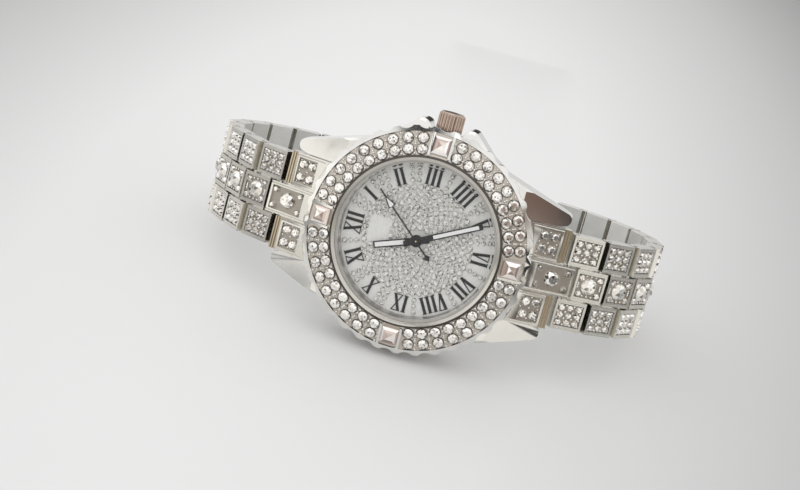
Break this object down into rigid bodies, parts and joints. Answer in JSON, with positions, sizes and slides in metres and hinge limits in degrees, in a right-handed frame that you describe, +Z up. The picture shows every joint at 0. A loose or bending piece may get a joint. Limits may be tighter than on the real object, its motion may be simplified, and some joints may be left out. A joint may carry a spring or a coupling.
{
  "type": "bracelet watch",
  "caption": "Round analogue wristwatch with a stone-set bezel, dial and bracelet, Roman numerals, a fluted crown, lugs, pinned links and a fold-over clasp, lying on its side.",
  "frame": {"origin": "under the middle of the watch's box, on the surface that it lies on", "axes": "+X towards 6 o'clock along the bracelet's length, -Y the way the dial faces, +Z up, towards the crown at 3 o'clock; the dial leans back 16.5 degrees"},
  "size_m": [0.0832, 0.0504, 0.041],
  "materials": {
    "polished_steel": "polished",
    "back_steel": "brushed",
    "crystal": "faceted",
    "clear_glass": "clear",
    "gasket": "matte",
    "dial_silver": "satin",
    "grey_ring": "satin",
    "black_print": "gloss",
    "movement_plastic": "matte",
    "brass": "polished",
    "movement_steel": "satin",
    "copper_winding": "satin",
    "board_green": "gloss"
  },
  "bodies": {
    "watch_case": {"case_middle": "polished_steel", "case_back": "back_steel", "case_back_gasket": "gasket", "bezel": "polished_steel", "bezel_stones": "crystal", "watch_glass": "clear_glass", "glass_gasket": "gasket", "rehaut_ring": "grey_ring", "dial_plate": "dial_silver", "dial_stones": "crystal", "dial_numerals": "black_print", "movement_ring": "movement_plastic", "main_plate": "brass", "train_bridge": "movement_steel", "bridge_screws": "movement_steel", "battery": "back_steel", "motor_coil": "copper_winding", "motor_stator": "movement_steel", "circuit_board": "board_green", "crown_tube": "back_steel", "spring_bars": "back_steel", "end_link_6": "polished_steel", "end_link_12": "polished_steel", "end_link_stones": "crystal"},
    "second_train": {"second_hand": "black_print", "fourth_wheel": "brass"},
    "minute_train": {"minute_hand": "black_print", "centre_wheel": "brass"},
    "hour_train": {"hour_hand": "black_print", "hour_wheel": "brass"},
    "third_arbor": {"third_wheel": "brass"},
    "fifth_arbor": {"fifth_wheel": "brass"},
    "motor_rotor": {"rotor": "movement_steel"},
    "motion_work": {"minute_wheel": "brass"},
    "stem_carrier": {"setting_lever": "movement_steel"},
    "crown_and_stem": {"crown": "polished_steel", "winding_stem": "movement_steel"},
    "clasp_inner": {"clasp_inner_leaf": "polished_steel"},
    "clasp_middle": {"clasp_middle_leaf": "polished_steel"},
    "clasp_outer": {"clasp_cover": "polished_steel"},
    "bracelet_6_1": {"link_6_1": "polished_steel"},
    "bracelet_6_2": {"link_6_2": "polished_steel"},
    "bracelet_6_3": {"link_6_3": "polished_steel"},
    "bracelet_6_4": {"link_6_4": "polished_steel"},
    "bracelet_6_5": {"link_6_5": "polished_steel"},
    "bracelet_6_6": {"link_6_6": "polished_steel"},
    "bracelet_6_7": {"link_6_7": "polished_steel"},
    "bracelet_6_8": {"link_6_8": "polished_steel"},
    "bracelet_6_9": {"link_6_9": "polished_steel"},
    "bracelet_12_1": {"link_12_1": "polished_steel"},
    "bracelet_12_2": {"link_12_2": "polished_steel"},
    "bracelet_12_3": {"link_12_3": "polished_steel"},
    "bracelet_12_4": {"link_12_4": "polished_steel"},
    "bracelet_12_5": {"link_12_5": "polished_steel"},
    "bracelet_12_6": {"link_12_6": "polished_steel"},
    "bracelet_12_7": {"link_12_7": "polished_steel"},
    "bracelet_12_8": {"link_12_8": "polished_steel"},
    "bracelet_12_9": {"link_12_9": "polished_steel"}
  },
  "joints": [
    {"name": "second_turn", "type": "hinge", "parent": "watch_case", "child": "second_train", "pos_m": [0.00011, -0.01776, 0.01966], "axis": [0, 0.959, -0.2833], "continuous": true},
    {"name": "minute_turn", "type": "hinge", "parent": "watch_case", "child": "minute_train", "pos_m": [0.00011, -0.01776, 0.01966], "axis": [0, 0.959, -0.2833], "continuous": true},
    {"name": "hour_turn", "type": "hinge", "parent": "watch_case", "child": "hour_train", "pos_m": [0.00011, -0.01776, 0.01966], "axis": [0, 0.959, -0.2833], "continuous": true},
    {"name": "third_turn", "type": "hinge", "parent": "watch_case", "child": "third_arbor", "pos_m": [-0.00419, -0.01776, 0.01966], "axis": [0, 0.959, -0.2833], "continuous": true},
    {"name": "fifth_turn", "type": "hinge", "parent": "watch_case", "child": "fifth_arbor", "pos_m": [0.00262, -0.01692, 0.02252], "axis": [0, 0.959, -0.2833], "continuous": true},
    {"name": "rotor_turn", "type": "hinge", "parent": "watch_case", "child": "motor_rotor", "pos_m": [0.00432, -0.01644, 0.02415], "axis": [0, 0.959, -0.2833], "continuous": true},
    {"name": "motion_turn", "type": "hinge", "parent": "watch_case", "child": "motion_work", "pos_m": [0.00283, -0.0174, 0.02087], "axis": [0, 0.959, -0.2833], "continuous": true},
    {"name": "crown_pull", "type": "slide", "parent": "watch_case", "child": "stem_carrier", "axis": [0, 0.2833, 0.959], "range_m": [0, 0.001]},
    {"name": "crown_turn", "type": "hinge", "parent": "stem_carrier", "child": "crown_and_stem", "pos_m": [0.00011, -0.01053, 0.03707], "axis": [0, 0.2833, 0.959], "continuous": true},
    {"name": "link_6_1_hinge", "type": "hinge", "parent": "watch_case", "child": "bracelet_6_1", "pos_m": [0.02586, -0.01474, 0.01876], "axis": [0, -0.2833, -0.959], "range_deg": [0, 10]},
    {"name": "link_6_2_hinge", "type": "hinge", "parent": "bracelet_6_1", "child": "bracelet_6_2", "pos_m": [0.03135, -0.0124, 0.01807], "axis": [0, -0.2833, -0.959], "range_deg": [0, 20]},
    {"name": "link_6_3_hinge", "type": "hinge", "parent": "bracelet_6_2", "child": "bracelet_6_3", "pos_m": [0.03601, -0.00878, 0.017], "axis": [0, -0.2833, -0.959], "range_deg": [0, 26]},
    {"name": "link_6_4_hinge", "type": "hinge", "parent": "bracelet_6_3", "child": "bracelet_6_4", "pos_m": [0.03901, -0.0038, 0.01553], "axis": [0, -0.2833, -0.959], "range_deg": [0, 30]},
    {"name": "link_6_5_hinge", "type": "hinge", "parent": "bracelet_6_4", "child": "bracelet_6_5", "pos_m": [0.03953, 0.00194, 0.01384], "axis": [0, -0.2833, -0.959], "range_deg": [0, 22]},
    {"name": "link_6_6_hinge", "type": "hinge", "parent": "bracelet_6_5", "child": "bracelet_6_6", "pos_m": [0.03828, 0.00756, 0.01217], "axis": [0, -0.2833, -0.959], "range_deg": [0, 23]},
    {"name": "link_6_7_hinge", "type": "hinge", "parent": "bracelet_6_6", "child": "bracelet_6_7", "pos_m": [0.03528, 0.01255, 0.0107], "axis": [0, -0.2833, -0.959], "range_deg": [0, 23]},
    {"name": "link_6_8_hinge", "type": "hinge", "parent": "bracelet_6_7", "child": "bracelet_6_8", "pos_m": [0.03082, 0.0164, 0.00956], "axis": [0, -0.2833, -0.959], "range_deg": [0, 21]},
    {"name": "link_6_9_hinge", "type": "hinge", "parent": "bracelet_6_8", "child": "bracelet_6_9", "pos_m": [0.02543, 0.01892, 0.00882], "axis": [0, -0.2833, -0.959], "range_deg": [0, 19]},
    {"name": "link_12_1_hinge", "type": "hinge", "parent": "watch_case", "child": "bracelet_12_1", "pos_m": [-0.02564, -0.01474, 0.01876], "axis": [0, 0.2833, 0.959], "range_deg": [0, 14]},
    {"name": "link_12_2_hinge", "type": "hinge", "parent": "bracelet_12_1", "child": "bracelet_12_2", "pos_m": [-0.03093, -0.01204, 0.01797], "axis": [0, 0.2833, 0.959], "range_deg": [0, 26]},
    {"name": "link_12_3_hinge", "type": "hinge", "parent": "bracelet_12_2", "child": "bracelet_12_3", "pos_m": [-0.03487, -0.0077, 0.01668], "axis": [0, 0.2833, 0.959], "range_deg": [0, 11]},
    {"name": "link_12_4_hinge", "type": "hinge", "parent": "bracelet_12_3", "child": "bracelet_12_4", "pos_m": [-0.03831, -0.00298, 0.01529], "axis": [0, 0.2833, 0.959], "range_deg": [0, 26]},
    {"name": "link_12_5_hinge", "type": "hinge", "parent": "bracelet_12_4", "child": "bracelet_12_5", "pos_m": [-0.03976, 0.0026, 0.01364], "axis": [0, 0.2833, 0.959], "range_deg": [0, 28]},
    {"name": "link_12_6_hinge", "type": "hinge", "parent": "bracelet_12_5", "child": "bracelet_12_6", "pos_m": [-0.03882, 0.00828, 0.01196], "axis": [0, 0.2833, 0.959], "range_deg": [0, 24]},
    {"name": "link_12_7_hinge", "type": "hinge", "parent": "bracelet_12_6", "child": "bracelet_12_7", "pos_m": [-0.03601, 0.01336, 0.01046], "axis": [0, 0.2833, 0.959], "range_deg": [0, 24]},
    {"name": "link_12_8_hinge", "type": "hinge", "parent": "bracelet_12_7", "child": "bracelet_12_8", "pos_m": [-0.03162, 0.01729, 0.0093], "axis": [0, 0.2833, 0.959], "range_deg": [0, 22]},
    {"name": "link_12_9_hinge", "type": "hinge", "parent": "bracelet_12_8", "child": "bracelet_12_9", "pos_m": [-0.02623, 0.01981, 0.00856], "axis": [0, 0.2833, 0.959], "range_deg": [0, 19]},
    {"name": "clasp_to_link_hinge", "type": "hinge", "parent": "bracelet_12_9", "child": "clasp_inner", "pos_m": [-0.02036, 0.02101, 0.0082], "axis": [0, 0.2833, 0.959], "range_deg": [0, 15.67]},
    {"name": "clasp_inner_hinge", "type": "hinge", "parent": "clasp_inner", "child": "clasp_middle", "pos_m": [0.01395, 0.01971, 0.00859], "axis": [0, -0.2833, -0.959], "range_deg": [0, 135]},
    {"name": "clasp_cover_hinge", "type": "hinge", "parent": "clasp_middle", "child": "clasp_outer", "pos_m": [-0.01475, 0.02122, 0.00814], "axis": [0, -0.2833, -0.959], "range_deg": [-135, 0]}
  ],
  "couplings": [
    {"joint": "minute_turn", "follows": "second_turn", "ratio": 0.016667},
    {"joint": "hour_turn", "follows": "second_turn", "ratio": 0.0013889},
    {"joint": "third_turn", "follows": "second_turn", "ratio": -0.13333},
    {"joint": "fifth_turn", "follows": "second_turn", "ratio": -7.5},
    {"joint": "rotor_turn", "follows": "second_turn", "ratio": 30},
    {"joint": "motion_turn", "follows": "second_turn", "ratio": -0.0055556},
    {"joint": "clasp_cover_hinge", "follows": "clasp_inner_hinge", "ratio": -1}
  ]
}
